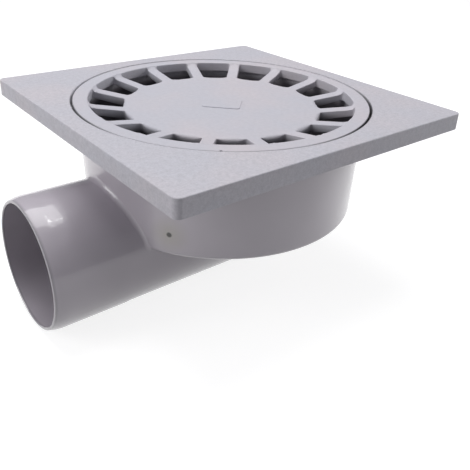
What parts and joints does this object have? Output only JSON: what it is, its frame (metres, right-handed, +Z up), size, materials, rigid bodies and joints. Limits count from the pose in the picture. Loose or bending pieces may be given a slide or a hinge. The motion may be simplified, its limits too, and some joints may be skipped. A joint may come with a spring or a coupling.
{
  "type": "gully trap",
  "caption": "Square floor gully trap with a round slotted dished grate, a bowl with a bell trap and a level outlet spigot.",
  "frame": {"origin": "on the outlet's axis, at the spigot's first full circle, 4 mm in from its bevelled mouth", "axes": "+Z up, square to the floor plate; +X along the outlet's axis towards the bowl; +Y along the plate's side"},
  "size_m": [0.229, 0.2, 0.1115],
  "materials": {
    "body_plastic": "moulded grey plastic, fine grain on the plate and a soft sheen on bowl and outlet",
    "grate_plastic": "moulded grey plastic with a fine matte grain",
    "bell_plastic": "moulded grey plastic"
  },
  "bodies": {
    "root": {"trap_body": "body_plastic", "grate": "grate_plastic", "trap_bell": "bell_plastic"}
  },
  "joints": []
}
